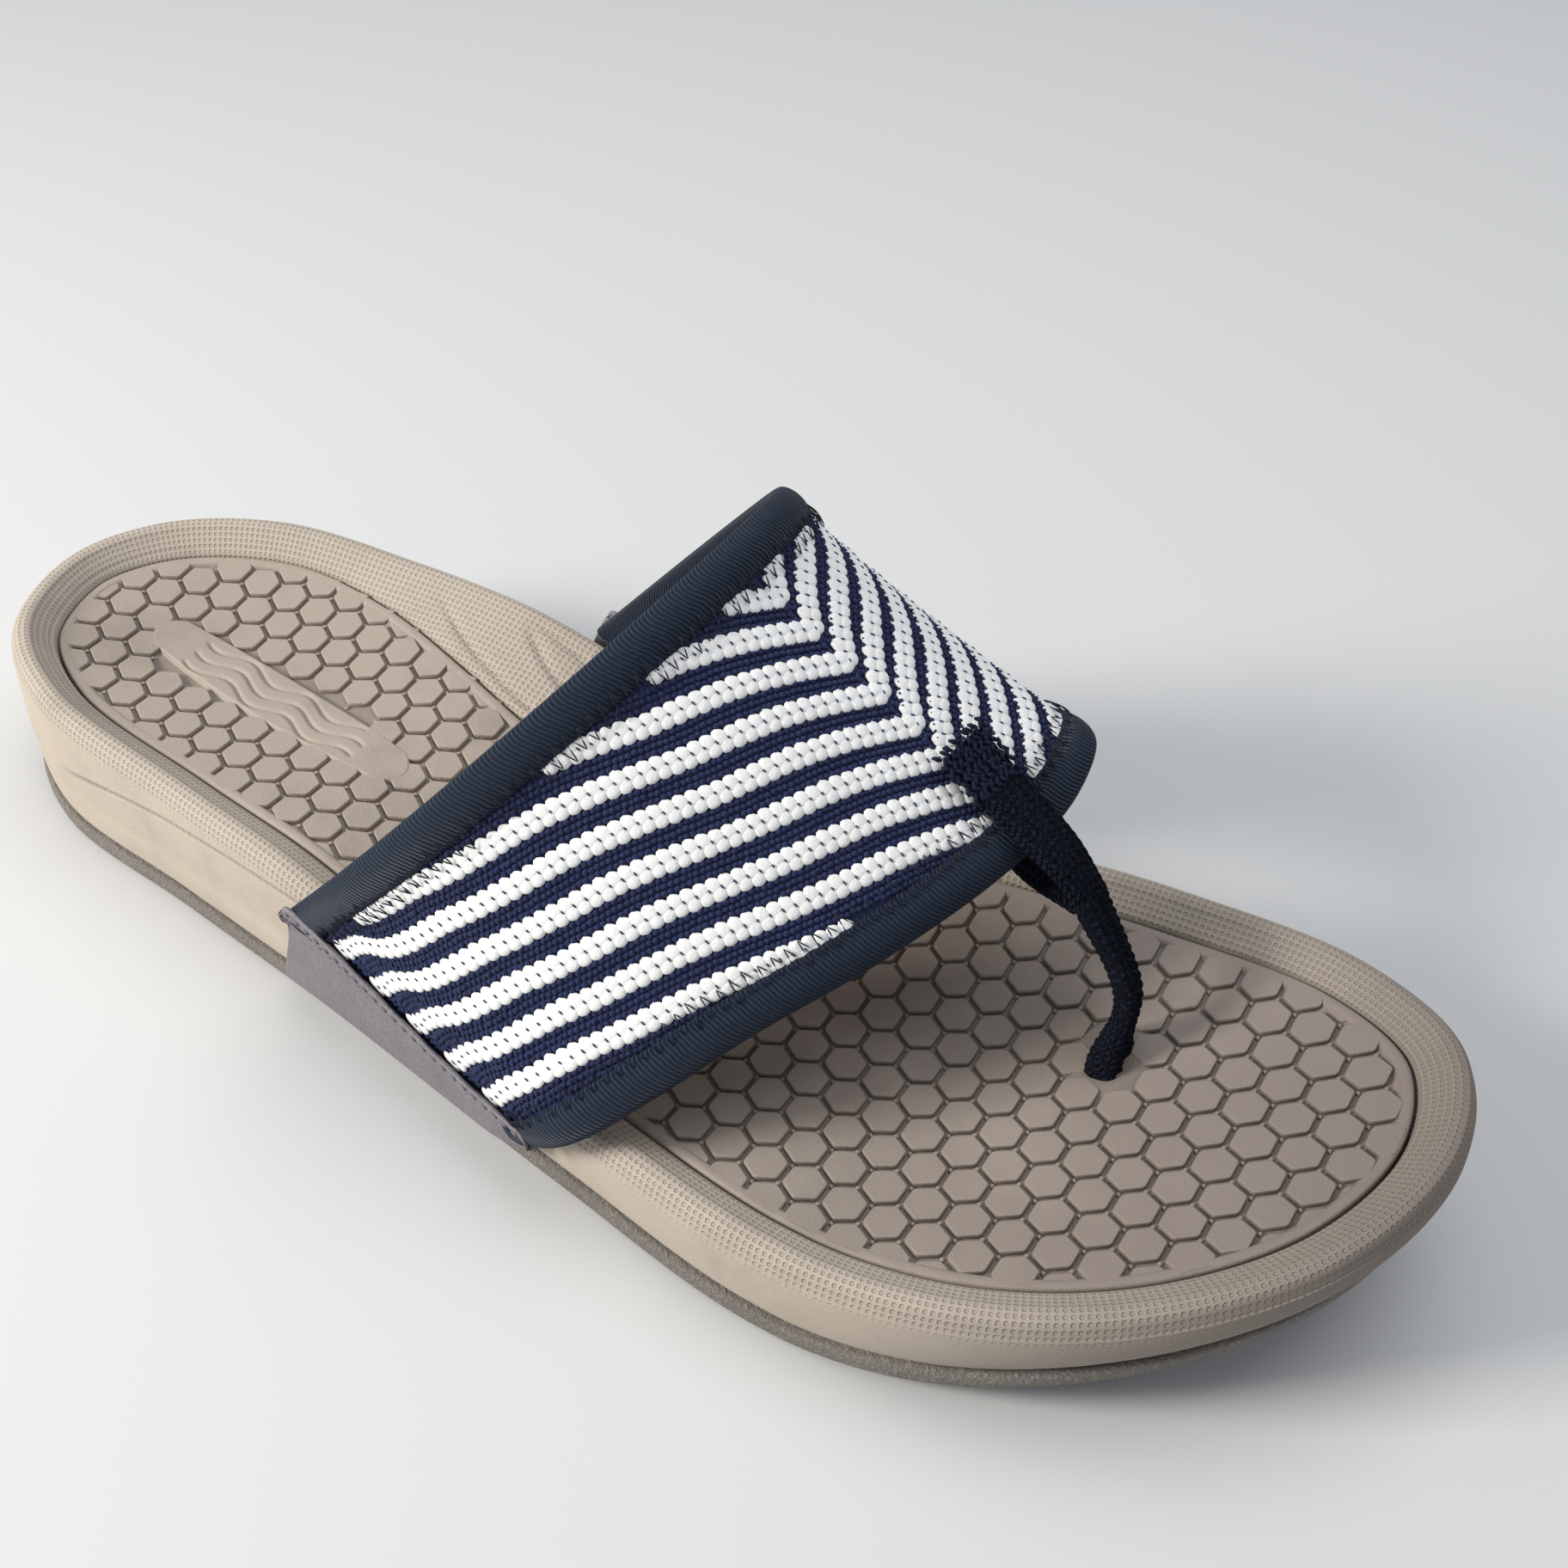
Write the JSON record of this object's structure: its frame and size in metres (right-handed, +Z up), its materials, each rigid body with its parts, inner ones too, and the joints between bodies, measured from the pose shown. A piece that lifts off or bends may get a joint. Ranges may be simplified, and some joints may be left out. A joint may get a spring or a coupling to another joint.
{
  "type": "flip flop",
  "caption": "Right-foot toe-post sandal: foam wedge sole with a raised rim, padded footbed, wide striped knit strap with folded bindings, side tabs and a braided toe post",
  "frame": {"origin": "bottom centre of the bounding box, on the surface the sandal stands on", "axes": "+X from heel to toe, +Y towards the big-toe side, +Z up"},
  "size_m": [0.275, 0.102, 0.0879],
  "materials": {
    "outsole_rubber": "grainy matt taupe-grey moulded rubber",
    "midsole_foam": "matt beige moulded foam with a fine dimpled rim",
    "insert_foam": "satin taupe moulded foam with raised six-sided pads",
    "tab_leather": "smooth slate-grey synthetic leather with stitched edges",
    "lining_textile": "matt tan woven lining",
    "striped_knit": "chunky elastic knit in white and navy rows",
    "binding_tape": "ribbed navy binding tape with zigzag cover stitch",
    "braided_tape": "dark navy braided tape",
    "anchor_rubber": "matt black rubber",
    "anchor_plastic": "grey moulded plastic"
  },
  "bodies": {
    "root": {"outsole": "outsole_rubber", "midsole": "midsole_foam", "footbed_insert": "insert_foam", "lateral_tab": "tab_leather", "medial_tab": "tab_leather", "strap_lining": "lining_textile", "strap_panel_lateral": "striped_knit", "strap_panel_medial": "striped_knit", "rear_binding": "binding_tape", "front_binding": "binding_tape", "toe_post": "braided_tape", "post_tape_upper": "braided_tape", "post_tape_lower": "braided_tape", "bartack": "braided_tape", "post_anchor": "anchor_rubber", "anchor_washer": "anchor_plastic"}
  },
  "joints": []
}
